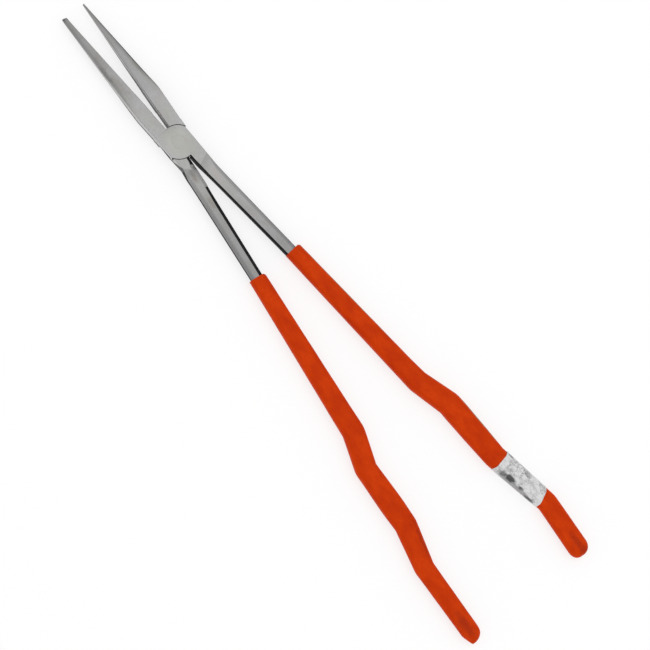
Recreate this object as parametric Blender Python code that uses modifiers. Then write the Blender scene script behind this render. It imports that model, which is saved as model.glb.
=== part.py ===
"""Long-reach needle-nose tongs for planting and tending an aquarium.

Two forged levers cross in a flat lap joint and turn on one flush rivet. Each lever is a jaw, half of the
lap joint, a long shank and a tang. A dipped sleeve covers each tang, and one sleeve carries a label.

The tongs lie flat: +Z is the rivet's axis, +Y points to the jaw tips, and z = 0 is the underside.
Each lever is drawn closed, with its jaw to the left, its gripping face near x = 0 and its handle to the
right. The rear lever is drawn the same way and then mirrored. An empty on the rivet's axis opens each.
"""
import math

import bmesh
import bpy

# Lap joint and rivet
JOINT_THICKNESS = 0.012
MID_PLANE = JOINT_THICKNESS / 2
JOINT_HALF_WIDTH = 0.0125
JOINT_RADIUS = 0.0141
GAP = 0.0003
RIVET_RADIUS = 0.004
RIVET_HEAD_RADIUS = 0.0056
RIVET_HEAD_DEPTH = 0.0016
REST_HALF_OPENING = math.radians(3.43)

# Jaws: rows of distance from the rivet and size
TIP_Y = 0.1364
TIP_SLANT = math.radians(-18)
TIP_BEVEL = 0.0006
TIP_LENGTH = 0.006
GRIP_INSET = 0.0005
RELIEF_INSET = 0.0008
RELIEF_Y = 0.030
JAW_THICKNESSES = ((0.016, 0.0120), (0.048, 0.0110), (0.075, 0.0084), (0.100, 0.0060), (TIP_Y, 0.0030))
FRONT_JAW_WIDTHS = ((0.016, 0.0123), (0.0335, 0.0125), (0.081, 0.0093), (TIP_Y, 0.0046))
REAR_JAW_WIDTHS = ((0.016, 0.0122), (0.0465, 0.0126), (0.091, 0.0074), (TIP_Y, 0.0018))
NOSE_FLAT_SHARES = ((0.040, 1.00), (0.070, 0.55), (TIP_Y, 0.35))
NOSE_ROUND_DOWN = 1.3
JAW_STATIONS = 10

# Shoulders, shanks and tangs
WAIST_Y = -0.0200
SLOPE_Y = -0.0225
FRONT_WAIST = (0.0006, 0.0118)
REAR_WAIST = (-0.0002, 0.0097)
SHANK_THICKNESS = 0.0072
SHANK_WIDTHS = ((-0.4700, 0.0095), (-0.1250, 0.0103), (-0.0330, 0.0113))
SHANK_CHAMFER = 0.0019
SHANK_CROWN_ACROSS = 0.0042
SHANK_CROWN_DOWN = 0.0026
TANG_END_MARGIN = 0.010
EDGE_BREAK = 0.00015

# Handle routes: the corners of each centreline, from the shoulder to the sleeve's end
BEND_RADIUS = 0.012
ROUTE_STEP = 0.018
ROUTE_MARGIN = 0.002
FRONT_ROUTE = ((0.0066, -0.0330), (0.0187, -0.2726), (0.0261, -0.3036), (0.0255, -0.3597),
               (0.0330, -0.4162), (0.0266, -0.4680))
REAR_ROUTE = ((0.0055, -0.0330), (0.0164, -0.2724), (0.0252, -0.3024), (0.0245, -0.3573),
              (0.0319, -0.3939), (0.0305, -0.4667))

# Sleeves: rows of distance from the mouth and size
SLEEVE_START = 0.0928
SLEEVE_CORNER = 0.0043
SLEEVE_LIP = 0.0003
SLEEVE_NOSE = 0.0085
NOSE_SHARES = (0.35, 0.65, 0.85, 0.97)
FRONT_MOUTH_SHIFT = 0.0017
REAR_MOUTH_SHIFT = -0.0005
MOUTH_SHIFT_LENGTH = 0.130
FRONT_SLEEVE_WIDTHS = ((0.000, 0.0147), (0.130, 0.0175), (0.186, 0.0206), (0.222, 0.0197),
                       (0.240, 0.0190), (0.280, 0.0172), (0.344, 0.0177))
REAR_SLEEVE_WIDTHS = ((0.000, 0.0143), (0.084, 0.0166), (0.150, 0.0187), (0.183, 0.0182),
                      (0.215, 0.0197), (0.240, 0.0184), (0.280, 0.0163), (0.350, 0.0152))
SLEEVE_THICKNESSES = ((0.000, 0.0116), (0.040, 0.0120), (0.215, 0.0120), (0.230, 0.0107), (0.350, 0.0105))

# Label, measured from the front sleeve's mouth
LABEL_START = 0.2401
LABEL_END = 0.2849
LABEL_LEAN = 0.26
LABEL_THICKNESS = 0.0003
LABEL_BULGE = 0.0022

CORNER_STEPS = 3
BEND_STEPS = 4
ARC_STATIONS = 8
ROUND_SEGMENTS = 48
OVERSHOOT = 0.002
SHARP_ANGLE = math.radians(30)
MERGE_DISTANCE = 0.00001

STEEL = ("ground_steel", (0.42, 0.42, 0.41, 1.0), 0.36, 1.0)
SLEEVE_VINYL = ("orange_vinyl", (0.58, 0.04, 0.004, 1.0), 0.45, 0.0)
LABEL_FILM = ("label_film", (0.68, 0.68, 0.68, 1.0), 0.40, 0.0)


def clear_scene():
    for scene_object in list(bpy.data.objects):
        bpy.data.objects.remove(scene_object, do_unlink=True)


def make_collection(name):
    collection = bpy.data.collections.new(name)
    bpy.context.scene.collection.children.link(collection)
    return collection


def give_material(part, finish):
    """Each part has a material of its own, named for the part and its finish."""
    name, colour, roughness, metallic = finish
    material = bpy.data.materials.new(part.name + "_" + name)
    material.use_nodes = True
    shader = material.node_tree.nodes["Principled BSDF"]
    shader.inputs["Base Color"].default_value = colour
    shader.inputs["Roughness"].default_value = roughness
    shader.inputs["Metallic"].default_value = metallic
    part.data.materials.append(material)


def read_off(rows, position):
    """The size at a position, in straight lines between the rows."""
    previous = rows[0]
    for row in rows:
        if position <= row[0]:
            span = row[0] - previous[0]
            share = (position - previous[0]) / span if span else 0.0
            return previous[1] + share * (row[1] - previous[1])
        previous = row
    return rows[-1][1]


def spread(start, end, count):
    return [start + (end - start) * index / (count - 1) for index in range(count)]


# Sections and lofts

def section(left, right, thickness, left_corner, right_corner):
    """Outline across a piece; a corner is (cut across, cut down, 1 for round or 0 for straight)."""
    outline = []
    for side, face in ((1, -1), (1, 1), (-1, 1), (-1, -1)):
        edge = right if side > 0 else left
        cut_across, cut_down, roundness = right_corner if side > 0 else left_corner
        shares = spread(0.0, 1.0, CORNER_STEPS + 1)
        if side == face:
            shares.reverse()
        for share in shares:
            turn = share * math.pi / 2
            across = roundness * math.sin(turn) + (1 - roundness) * share
            down = roundness * math.cos(turn) + (1 - roundness) * (1 - share)
            outline.append((edge - side * cut_across * (1 - across),
                            face * (thickness / 2 - cut_down * (1 - down))))
    return outline


def square_section(left, right, thickness):
    corner = (EDGE_BREAK, EDGE_BREAK, 0)
    return section(left, right, thickness, corner, corner)


def stand_up(outline, x, y, heading=0.0):
    """Places an outline across a heading, where 0 runs along -Y and a positive one turns to +X."""
    return [(x + across * math.cos(heading), y + across * math.sin(heading), MID_PLANE + height)
            for across, height in outline]


def flip(rings):
    return [[(-x, y, z) for x, y, z in ring] for ring in rings]


def loft(name, rings, collection, closed=False):
    """Skins rings of equal counts; the ends are capped, or joined to each other if closed."""
    mesh_data = bmesh.new()
    rows = [[mesh_data.verts.new(point) for point in ring] for ring in rings]
    following_rows = rows[1:] + rows[:1] if closed else rows[1:]
    for row, following in zip(rows, following_rows):
        for index, vertex in enumerate(row):
            after = (index + 1) % len(row)
            mesh_data.faces.new((vertex, row[after], following[after], following[index]))
    if not closed:
        mesh_data.faces.new(rows[0])
        mesh_data.faces.new(rows[-1])
    bmesh.ops.recalc_face_normals(mesh_data, faces=mesh_data.faces)
    mesh = bpy.data.meshes.new(name)
    mesh_data.to_mesh(mesh)
    mesh_data.free()
    mesh.shade_smooth()
    mesh.set_sharp_from_angle(angle=SHARP_ANGLE)
    lofted = bpy.data.objects.new(name, mesh)
    collection.objects.link(lofted)
    return lofted


# Routes along the handles

def heading_between(start, end):
    return math.atan2(end[0] - start[0], start[1] - end[1])


def step_along(point, heading, distance):
    return (point[0] + distance * math.sin(heading), point[1] - distance * math.cos(heading))


def straight_samples(start, end, heading):
    length = math.dist(start, end)
    count = max(1, round(length / ROUTE_STEP))
    return [(step_along(start, heading, length * index / count), heading) for index in range(count)]


def bend_samples(start, heading, turn):
    chord = 2 * BEND_RADIUS * math.sin(abs(turn) / BEND_STEPS / 2)
    samples = [(start, heading)]
    for index in range(BEND_STEPS):
        point = step_along(samples[-1][0], heading + turn * (index + 0.5) / BEND_STEPS, chord)
        samples.append((point, heading + turn * (index + 1) / BEND_STEPS))
    return samples


def bent_route(corners):
    """Rows of (distance, point, heading) along a route whose inner corners are bent, not sharp."""
    samples = []
    cursor = corners[0]
    heading = heading_between(corners[0], corners[1])
    for corner, following in zip(corners[1:], corners[2:]):
        turn = heading_between(corner, following) - heading
        bend_start = step_along(corner, heading, -BEND_RADIUS * math.tan(abs(turn) / 2))
        samples += straight_samples(cursor, bend_start, heading)
        bend = bend_samples(bend_start, heading, turn)
        samples += bend[:-1]
        cursor, heading = bend[-1]
    samples += straight_samples(cursor, corners[-1], heading)
    samples.append((corners[-1], heading))
    distance = 0.0
    rows = []
    for index, (point, direction) in enumerate(samples):
        distance += math.dist(samples[max(index - 1, 0)][0], point)
        rows.append((distance, point, direction))
    return rows


def sample_at(route, distance):
    before, after = route[0], route[1]
    for before, after in zip(route, route[1:]):
        if distance <= after[0]:
            break
    share = (distance - before[0]) / (after[0] - before[0])
    x = before[1][0] + share * (after[1][0] - before[1][0])
    y = before[1][1] + share * (after[1][1] - before[1][1])
    return distance, (x, y), before[2] + share * (after[2] - before[2])


def cut_route(route, start, end):
    """The rows between two distances, with a row at each end."""
    inner = [row for row in route if start + ROUTE_MARGIN < row[0] < end - ROUTE_MARGIN]
    return [sample_at(route, start)] + inner + [sample_at(route, end)]


# Levers

def jaw_section(widths, y):
    """Square on the gripping side; the outer side is ground round towards the tip."""
    width = read_off(widths, y)
    thickness = read_off(JAW_THICKNESSES, y)
    inset = GRIP_INSET if y > RELIEF_Y else RELIEF_INSET
    ground_share = 1 - read_off(NOSE_FLAT_SHARES, y)
    cut_across = max(EDGE_BREAK, ground_share * width)
    cut_down = max(EDGE_BREAK, NOSE_ROUND_DOWN * ground_share * thickness / 2)
    outer_corner = (cut_across, cut_down, 1)
    return section(-width, -inset, thickness, outer_corner, (EDGE_BREAK, EDGE_BREAK, 0))


def tip_rings(widths):
    """The slanted tip: a small bevelled end and the full section behind it."""
    width = widths[-1][1]
    height = JAW_THICKNESSES[-1][1] - 2 * TIP_BEVEL
    round_edge = (TIP_BEVEL, TIP_BEVEL, 1)
    grip_edge = (EDGE_BREAK, EDGE_BREAK, 0)
    end_section = section(-width + TIP_BEVEL, -TIP_BEVEL, height, round_edge, grip_edge)
    end_y = TIP_Y + width * math.sin(TIP_SLANT)
    full_section = jaw_section(widths, TIP_Y - TIP_BEVEL)
    return [stand_up(end_section, 0, end_y, TIP_SLANT),
            stand_up(full_section, 0, end_y - TIP_BEVEL, TIP_SLANT)]


def jaw_rings(widths):
    stations = spread(TIP_Y - TIP_LENGTH, JOINT_RADIUS, JAW_STATIONS)
    stations += [RELIEF_Y + EDGE_BREAK, RELIEF_Y, widths[1][0], NOSE_FLAT_SHARES[0][0]]
    stations.sort(reverse=True)
    return tip_rings(widths) + [stand_up(jaw_section(widths, y), 0, y) for y in stations]


def joint_rings(waist):
    """Arcs about the rivet on the two quarters that the other lever turns past, and straight sides."""
    side_angle = math.asin(JOINT_HALF_WIDTH / JOINT_RADIUS)
    first_angle = side_angle / ARC_STATIONS
    rings = []
    for angle in spread(first_angle, side_angle, ARC_STATIONS):
        outline = square_section(-JOINT_HALF_WIDTH, JOINT_RADIUS * math.sin(angle), JOINT_THICKNESS)
        rings.append(stand_up(outline, 0, JOINT_RADIUS * math.cos(angle)))
    for angle in spread(side_angle, 0.0, ARC_STATIONS + 1):
        y = -JOINT_RADIUS * math.cos(angle)
        inner = -JOINT_RADIUS * math.sin(angle) if angle else waist[0]
        outer = JOINT_HALF_WIDTH + y / WAIST_Y * (waist[1] - JOINT_HALF_WIDTH)
        rings.append(stand_up(square_section(inner, outer, JOINT_THICKNESS), 0, y))
    rings.append(stand_up(square_section(*waist, JOINT_THICKNESS), 0, WAIST_Y))
    rings.append(stand_up(square_section(*waist, JOINT_THICKNESS), 0, SLOPE_Y))
    return rings


def tang_rings(route, start, end, clearance=0.0):
    """The bar along a route: a chamfered inner side and a crowned outer side."""
    chamfer = (SHANK_CHAMFER, SHANK_CHAMFER, 0)
    crown = (SHANK_CROWN_ACROSS, SHANK_CROWN_DOWN, 1)
    rings = []
    for _, (x, y), heading in cut_route(route, start, end):
        half = read_off(SHANK_WIDTHS, y) / 2 + clearance
        outline = section(-half, half, SHANK_THICKNESS + 2 * clearance, chamfer, crown)
        rings.append(stand_up(outline, x, y, heading))
    return rings


def add_lever(name, widths, waist, route, mirrored, collection):
    rings = jaw_rings(widths) + joint_rings(waist)
    rings += tang_rings(route, 0.0, route[-1][0] - TANG_END_MARGIN)
    return loft(name, flip(rings) if mirrored else rings, collection)


# Rivet, its hole and the lap

def add_turned(name, profile, collection):
    """Turns a profile that runs from the axis at the top, down its outer side and back to the axis."""
    mesh = bpy.data.meshes.new(name)
    edges = [(index, index + 1) for index in range(len(profile) - 1)]
    mesh.from_pydata([(radius, 0, z) for radius, z in profile], edges, [])
    turned = bpy.data.objects.new(name, mesh)
    collection.objects.link(turned)
    screw = turned.modifiers.new("turn", "SCREW")
    screw.axis = "Z"
    screw.steps = ROUND_SEGMENTS
    screw.render_steps = ROUND_SEGMENTS
    screw.use_merge_vertices = True
    screw.merge_threshold = MERGE_DISTANCE
    screw.use_smooth_shade = False
    return turned


def add_rivet(collection):
    return add_turned("pivot_rivet", [
        (0, JOINT_THICKNESS),
        (RIVET_HEAD_RADIUS, JOINT_THICKNESS),
        (RIVET_RADIUS, JOINT_THICKNESS - RIVET_HEAD_DEPTH),
        (RIVET_RADIUS, RIVET_HEAD_DEPTH),
        (RIVET_HEAD_RADIUS, 0),
        (0, 0)], collection)


def add_rivet_hole(cutters):
    hole_radius = RIVET_RADIUS + GAP
    mouth_radius = RIVET_HEAD_RADIUS + GAP
    return add_turned("rivet_hole", [
        (0, JOINT_THICKNESS + OVERSHOOT),
        (mouth_radius, JOINT_THICKNESS + OVERSHOOT),
        (mouth_radius, JOINT_THICKNESS),
        (hole_radius, JOINT_THICKNESS - RIVET_HEAD_DEPTH),
        (hole_radius, RIVET_HEAD_DEPTH),
        (mouth_radius, 0),
        (mouth_radius, -OVERSHOOT),
        (0, -OVERSHOOT)], cutters)


def add_lap_cutter(name, low, high, cutters):
    radius = JOINT_RADIUS + GAP
    return add_turned(name, [(0, high), (radius, high), (radius, low), (0, low)], cutters)


def cut(target, cutter):
    modifier = target.modifiers.new("cut_" + cutter.name, "BOOLEAN")
    modifier.operation = "DIFFERENCE"
    modifier.solver = "EXACT"
    modifier.object = cutter
    cutter.hide_render = True
    cutter.display_type = "WIRE"


# Sleeves and label

def sleeve_ring(row, start, widths, mouth_shift, outward=0.0, scale=1.0, bulge=0.0, lean=0.0):
    distance, (x, y), heading = row
    along = distance - start
    half = (read_off(widths, along) / 2 + outward) * scale
    thickness = (read_off(SLEEVE_THICKNESSES, along) + 2 * outward) * scale
    corner = (SLEEVE_CORNER * scale, SLEEVE_CORNER * scale, 1)
    shift = mouth_shift * max(0.0, 1 - along / MOUTH_SHIFT_LENGTH)
    outline = section(-half, half, thickness, corner, corner)
    ring = []
    for (across, _), point in zip(outline, stand_up([(u + shift, v) for u, v in outline], x, y, heading)):
        reach = bulge * (1 - (across / half) ** 2) - lean * across
        moved = step_along(point[:2], heading, reach)
        ring.append((moved[0], moved[1], point[2]))
    return ring


def sleeve_rings(route, widths, mouth_shift):
    """A sock: up the inside from its closed end to the mouth, then down the outside and round the end."""
    start = SLEEVE_START
    end = route[-1][0]
    inside = tang_rings(route, start, end - TANG_END_MARGIN + GAP, GAP)
    inside.reverse()
    lip = sleeve_ring(sample_at(route, start), start, widths, mouth_shift, -SLEEVE_LIP)
    outside = [sleeve_ring(row, start, widths, mouth_shift)
               for row in cut_route(route, start + SLEEVE_LIP, end - SLEEVE_NOSE)]
    nose = []
    for share in NOSE_SHARES:
        row = sample_at(route, end - SLEEVE_NOSE + SLEEVE_NOSE * share)
        nose.append(sleeve_ring(row, start, widths, 0.0, 0.0, math.sqrt(1 - share ** 2)))
    return inside + [lip] + outside + nose


def add_sleeve(name, route, widths, mouth_shift, mirrored, collection):
    rings = sleeve_rings(route, widths, mouth_shift)
    return loft(name, flip(rings) if mirrored else rings, collection)


def add_label(route, collection):
    """A wrap round the front sleeve: its edges bulge along the handle, and the far one leans."""
    start = SLEEVE_START + LABEL_START
    end = SLEEVE_START + LABEL_END
    rows = cut_route(route, start, end)
    skins = [[sleeve_ring(row, SLEEVE_START, FRONT_SLEEVE_WIDTHS, 0.0, outward, 1.0, LABEL_BULGE,
                          LABEL_LEAN * (row[0] - start) / (end - start))
              for row in rows] for outward in (GAP + LABEL_THICKNESS, GAP)]
    skins[1].reverse()
    return loft("label_band", skins[0] + skins[1], collection, closed=True)


# Assembly

def add_hinge_empty(name, angle, collection, parts):
    """An empty on the rivet's axis that opens a lever from closed to the rest position."""
    empty = bpy.data.objects.new(name, None)
    empty.empty_display_size = JOINT_RADIUS
    empty.rotation_euler.z = angle
    collection.objects.link(empty)
    for part in parts:
        part.parent = empty


def build():
    clear_scene()
    parts = make_collection("aquascaping_tongs")
    cutters = make_collection("cutters")
    front_route = bent_route(FRONT_ROUTE)
    rear_route = bent_route(REAR_ROUTE)

    front_lever = add_lever("front_lever", FRONT_JAW_WIDTHS, FRONT_WAIST, front_route, False, parts)
    rear_lever = add_lever("rear_lever", REAR_JAW_WIDTHS, REAR_WAIST, rear_route, True, parts)
    front_sleeve = add_sleeve("front_grip_sleeve", front_route, FRONT_SLEEVE_WIDTHS, FRONT_MOUTH_SHIFT,
                              False, parts)
    rear_sleeve = add_sleeve("rear_grip_sleeve", rear_route, REAR_SLEEVE_WIDTHS, REAR_MOUTH_SHIFT,
                             True, parts)
    label = add_label(front_route, parts)
    rivet = add_rivet(parts)

    rivet_hole = add_rivet_hole(cutters)
    lower_lap = add_lap_cutter("lower_lap", -OVERSHOOT, MID_PLANE + GAP / 2, cutters)
    upper_lap = add_lap_cutter("upper_lap", MID_PLANE - GAP / 2, JOINT_THICKNESS + OVERSHOOT, cutters)
    for lever, lap in ((front_lever, lower_lap), (rear_lever, upper_lap)):
        cut(lever, lap)
        cut(lever, rivet_hole)

    for part in (front_lever, rear_lever, rivet):
        give_material(part, STEEL)
    for part in (front_sleeve, rear_sleeve):
        give_material(part, SLEEVE_VINYL)
    give_material(label, LABEL_FILM)

    add_hinge_empty("front_lever_hinge", REST_HALF_OPENING, parts, (front_lever, front_sleeve, label, rivet))
    add_hinge_empty("rear_lever_hinge", -REST_HALF_OPENING, parts, (rear_lever, rear_sleeve))


build()
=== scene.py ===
"""Looks for the long-reach aquarium tongs: ground steel levers, dipped vinyl sleeves and a film label.

Each visible piece is modelled closed, as part of a lever whose jaw lies to the left of the rivet and whose
handle lies to the right, tips towards +Y. The rear pieces are mirrored. All are then opened to rest.
"""
import math

import bmesh
import bpy
from mathutils import Matrix, Vector, noise


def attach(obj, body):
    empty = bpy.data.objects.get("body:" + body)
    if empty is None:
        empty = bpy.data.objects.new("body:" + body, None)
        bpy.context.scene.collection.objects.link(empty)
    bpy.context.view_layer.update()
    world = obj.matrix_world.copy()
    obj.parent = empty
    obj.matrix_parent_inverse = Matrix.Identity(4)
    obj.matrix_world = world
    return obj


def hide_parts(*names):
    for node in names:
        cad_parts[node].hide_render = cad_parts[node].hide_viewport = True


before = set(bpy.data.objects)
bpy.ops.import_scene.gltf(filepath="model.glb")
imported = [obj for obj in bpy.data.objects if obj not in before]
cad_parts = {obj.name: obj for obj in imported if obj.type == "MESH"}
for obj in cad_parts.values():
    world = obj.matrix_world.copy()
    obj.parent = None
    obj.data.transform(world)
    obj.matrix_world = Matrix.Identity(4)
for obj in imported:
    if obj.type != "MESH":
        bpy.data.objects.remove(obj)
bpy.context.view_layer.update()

# Joint, repeated from the part's own dimensions, in metres
JOINT_THICKNESS = 0.012
MID_PLANE = JOINT_THICKNESS / 2
JOINT_HALF_WIDTH = 0.0125
JOINT_RADIUS = 0.0141
ARC_END_Y = math.sqrt(JOINT_RADIUS ** 2 - JOINT_HALF_WIDTH ** 2)
LAP_GAP = 0.0003
SEAM_GAP = 0.00048
REST_HALF_OPENING = math.radians(3.43)
RIVET_RADIUS = 0.0055
RIVET_GAP = 0.00002
RIVET_DOME = 0.00001
RIVET_EDGE = 0.00004
RIVET_DOME_SHARES = (0.0, 0.2, 0.4, 0.6, 0.8, 0.92)
CUT_OVERSHOOT = 0.002

# Jaws
TIP_Y = 0.1364
TIP_SLANT = math.radians(-18)
TIP_SLANT_LENGTH = 0.006
TIP_BEVEL = 0.0004
# Rows of distance back from the tip and share of the bevel
TIP_BEVEL_ROWS = ((0.0, 1.0), (0.00012, 0.45), (0.0003, 0.15), (TIP_BEVEL, 0.0))
TIP_SETBACK = 0.00008
GRIP_INSET = 0.0005
GRIP_EDGE = 0.00034
BACK_EDGE = 0.0005
RELIEF_INSET = 0.0008
RELIEF_Y = 0.03
RELIEF_RAMP = 0.0012
TOOTH_PITCH = 0.0011
TOOTH_DEPTH = 0.00022
TEETH_START_Y = 0.052
TEETH_END_Y = 0.1328
JAW_THICKNESSES = ((0.016, 0.012), (0.048, 0.011), (0.075, 0.0084), (0.1, 0.006), (TIP_Y, 0.003))
FRONT_JAW_WIDTHS = ((0.016, 0.0123), (0.0335, 0.0125), (0.081, 0.0093), (TIP_Y, 0.0046))
REAR_JAW_WIDTHS = ((0.016, 0.0122), (0.0465, 0.0126), (0.091, 0.0074), (TIP_Y, 0.0018))
NOSE_FLAT_SHARES = ((0.04, 1.0), (0.07, 0.55), (TIP_Y, 0.35))
NOSE_ROUND_DOWN = 1.3
NOSE_EASE = 0.01

# Shoulders, shanks and tangs
WAIST_Y = -0.02
SLOPE_END_Y = -0.04
FRONT_CREASE = (-0.0232, 0.371)
REAR_CREASE = (-0.0227, 0.657)
CREASE_MIDDLE_X = 0.0062
SHEAR_END = 0.018
FRONT_WAIST = (0.0006, 0.0118)
REAR_WAIST = (-0.0002, 0.0097)
SHANK_THICKNESS = 0.0072
SHANK_WIDTHS = ((-0.47, 0.0095), (-0.125, 0.0103), (-0.033, 0.0113))
SHANK_CROWN_ACROSS = 0.0042
SHANK_CROWN_DOWN = 0.0026
TANG_END_MARGIN = 0.01
CROWN_START_Y = -0.0215
CROWN_LENGTH = 0.018
# Inner upper edge, in rows of closed y, cut across and cut down, and the spans of its cut painted dark as
# shade
CHAMFER_STEP = 0.0004
WEDGE_REACH = 12 * CHAMFER_STEP
WEDGE_END_Y = -0.0417
FRONT_INNER = ((-0.1, 0.0013, 0.0013), (-0.033, 0.0009, 0.0009), (-0.02, 0.00022, 0.00022))
REAR_INNER = (
    (-0.06, 0.0029, 0.0019), (WEDGE_END_Y - CHAMFER_STEP, 0.0024, 0.0017),
    (WEDGE_END_Y, 0.0024, 0.0009), (-0.033, 0.0032, 0.0015), (-0.0242, 0.0041, 0.0024),
    (-0.0198, 0.0027, 0.002), (-0.0141, 0.0024, 0.0014)
)
FRONT_SHADED_SPANS = ((-1.0, -0.0136),)
REAR_SHADED_SPANS = ((-1.0, WEDGE_END_Y - CHAMFER_STEP / 2), (-0.0198, -0.0136))
EDGE_BREAK = 0.00022
EDGE_FILLET = 0.00016
FILLET_LIMIT = 0.45
BROKEN_EDGE = (EDGE_BREAK, EDGE_BREAK, False)
# How many faces of the shank's crown and of the jaw's back are painted dark as shade
FRONT_DARK_FACES = (3, 0)
REAR_DARK_FACES = (2, 4)

# Handle routes
BEND_RADIUS = 0.012
FRONT_ROUTE = (
    (0.0066, -0.033), (0.0187, -0.2726), (0.0261, -0.3036), (0.0255, -0.3597), (0.033, -0.4162),
    (0.0266, -0.468)
)
REAR_ROUTE = (
    (0.0055, -0.033), (0.0164, -0.2724), (0.0252, -0.3024), (0.0245, -0.3573), (0.0319, -0.3939),
    (0.0305, -0.4667)
)

# Sleeves: rows of distance from the mouth and size
SLEEVE_START = 0.0928
SLEEVE_CORNER = 0.0043
SLEEVE_CROWN = 0.0006
SLEEVE_LIP_RADIUS = 0.0007
MOUTH_CORNER_LENGTH = 0.0024
FRONT_MOUTH_CUTS = (0.0, 0.0014)
REAR_MOUTH_CUTS = (0.0014, 0.0)
SLEEVE_EASE = 0.006
SLEEVE_CORNER_LIMIT = 0.48
SLEEVE_WAVE = 0.00008
SLEEVE_WAVE_RATE = 60
SLEEVE_WAVE_ROUND = 0.7
SLEEVE_LEAST_RADIUS = 0.001
FRONT_WAVE_SEED = 3.1
REAR_WAVE_SEED = 8.4
LIP_DRAWN_IN = 0.5
SLEEVE_END_SETBACK = 0.0003
TANG_CLEARANCE = 0.00005
FRONT_MOUTH_SHIFT = 0.0017
REAR_MOUTH_SHIFT = -0.0005
MOUTH_SHIFT_LENGTH = 0.13
FRONT_SLEEVE_WIDTHS = (
    (0.0, 0.0147), (0.13, 0.0175), (0.186, 0.0206), (0.222, 0.0197), (0.24, 0.019), (0.28, 0.0172),
    (0.344, 0.0177)
)
REAR_SLEEVE_WIDTHS = (
    (0.0, 0.0143), (0.084, 0.0166), (0.15, 0.0187), (0.183, 0.0182), (0.215, 0.0197), (0.24, 0.0184),
    (0.28, 0.0163), (0.35, 0.0152)
)
SLEEVE_THICKNESSES = ((0.0, 0.0116), (0.04, 0.012), (0.215, 0.012), (0.23, 0.0107), (0.35, 0.0105))
# Ends: rows of distance from the end, cut from the inner side and cut from the outer side
FRONT_END_CUTS = (
    (0.0, 0.006, 0.0068), (0.0004, 0.0044, 0.0054), (0.0012, 0.0029, 0.0038),
    (0.0024, 0.0017, 0.0024), (0.0042, 0.0007, 0.0011), (0.0065, 0.0001, 0.0003), (0.0085, 0.0, 0.0)
)
REAR_END_CUTS = (
    (0.0, 0.0084, 0.0036), (0.0006, 0.006, 0.003), (0.002, 0.0036, 0.0025),
    (0.0036, 0.0018, 0.0019), (0.0055, 0.0007, 0.0013), (0.0078, 0.0002, 0.0005), (0.01, 0.0, 0.0)
)
END_EASE = 0.0003
END_FLATTEST = 0.12

# Label, measured from the front sleeve's mouth
LABEL_START = 0.2401
LABEL_END = 0.2849
LABEL_LEAN = 0.26
LABEL_GAP = 0.00012
LABEL_THICKNESS = 0.0003
LABEL_BULGE = 0.0022
LABEL_WRINKLE = 0.00013
LABEL_RAGGED = 0.00025
LABEL_RAGGED_RATE = 500
LABEL_RAGGED_ROW = 0.3
LABEL_RIPPLE_RATES = (260, 150)
LABEL_CALM = 0.35
LABEL_SINK = 0.35
LABEL_EDGE_SHARE = 0.55

# How finely the pieces are divided
CORNER_POINTS = 10
BEND_STEPS = 14
ARC_STATIONS = 26
TIP_STATIONS = 8
NECK_STATIONS = 18
NECK_PASSES = 3
SHOULDER_STATIONS = 20
WEDGE_STATIONS = 24
BAR_STEP = 0.004
SHORTEST_STEP = 0.0001
LIP_STATIONS = 6
MOUTH_STATIONS = 6
SLEEVE_STATIONS = 230
END_STATIONS = 22
LABEL_STATIONS = 70
ROUND_SEGMENTS = 128
MERGE_DISTANCE = 0.00001
SHARP_ANGLE = math.radians(32)
CORNER_EASE = 0.0025
EASE_WEIGHTS = ((-1.0, 1), (-0.5, 2), (0.0, 2), (0.5, 2), (1.0, 1))

# Places in a section's outline, and a lever's materials
RIGHT_WALL = CORNER_POINTS - 1
LEFT_TOP = 2 * CORNER_POINTS
LEFT_WALL = 3 * CORNER_POINTS - 1
LEFT_END = 4 * CORNER_POINTS - 1
# A lever's materials: ground face steel, painted shade steel where shade falls, side steel lightened as
# painted light, and the gripping faces
BRIGHT, SHADE_PAINT, LIGHTENED_SIDE, GRIP = 0, 1, 2, 3

# Textures: size across, along and up in metres, detail, roughness and, on some, an offset
# Streaks, fine grain, drift, second drift, wobble and stipple
STEEL_TEXTURES = (
    ((0.0003, 0.022, 0.0016), 4.0, 0.6), ((0.00045, 0.0006, 0.00045), 2.0, 0.5),
    ((0.012, 0.02, 0.03), 2.0, 0.5), ((0.007, 0.012, 0.03), 3.0, 0.5, (0.3, 0.1, 0.0)),
    ((0.0024, 0.004, 0.004), 3.0, 0.6), ((0.00095, 0.0012, 0.00095), 3.0, 0.65, (0.5, 0.2, 0.0))
)
# Grain and wear on the painted shade steel
SHADE_STEEL_TEXTURES = (((0.0006, 0.003, 0.0012), 4.0, 0.6), ((0.003, 0.012, 0.003), 3.0, 0.6))
# Mottle, blotch, scuffs, peel, grain and speckle
VINYL_TEXTURES = (
    ((0.008, 0.016, 0.008), 3.0, 0.5), ((0.0024, 0.004, 0.0024), 3.0, 0.6, (0.2, 0.4, 0.0)),
    ((0.002, 0.018, 0.003), 4.0, 0.65, (0.7, 0.2, 0.0)), ((0.0011, 0.0013, 0.0011), 2.0, 0.5),
    ((0.00028, 0.00034, 0.00028), 2.0, 0.5), ((0.0011, 0.0015, 0.0011), 3.0, 0.65, (0.1, 0.9, 0.0))
)
# Cloud, fine cloud, veins, the veins' places and wobble
LABEL_TEXTURES = (
    ((0.007, 0.009, 0.007), 3.0, 0.6), ((0.0016, 0.0024, 0.0016), 3.0, 0.65),
    ((0.0048, 0.006, 0.0048), 4.0, 0.65, (0.6, 0.3, 0.0)),
    ((0.008, 0.009, 0.008), 1.0, 0.5, (0.1, 0.7, 0.0)), ((0.0014, 0.0022, 0.002), 3.0, 0.6)
)
RIVET_WANDER = ((0.002, 0.002, 0.01), 3.0, 0.6)
LABEL_CREASE_SIZE = (0.006, 0.008, 0.006)
RIVET_RINGS_PER_METRE = 5200.0
WHOLE = (1.0, 1.0, 1.0)

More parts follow.
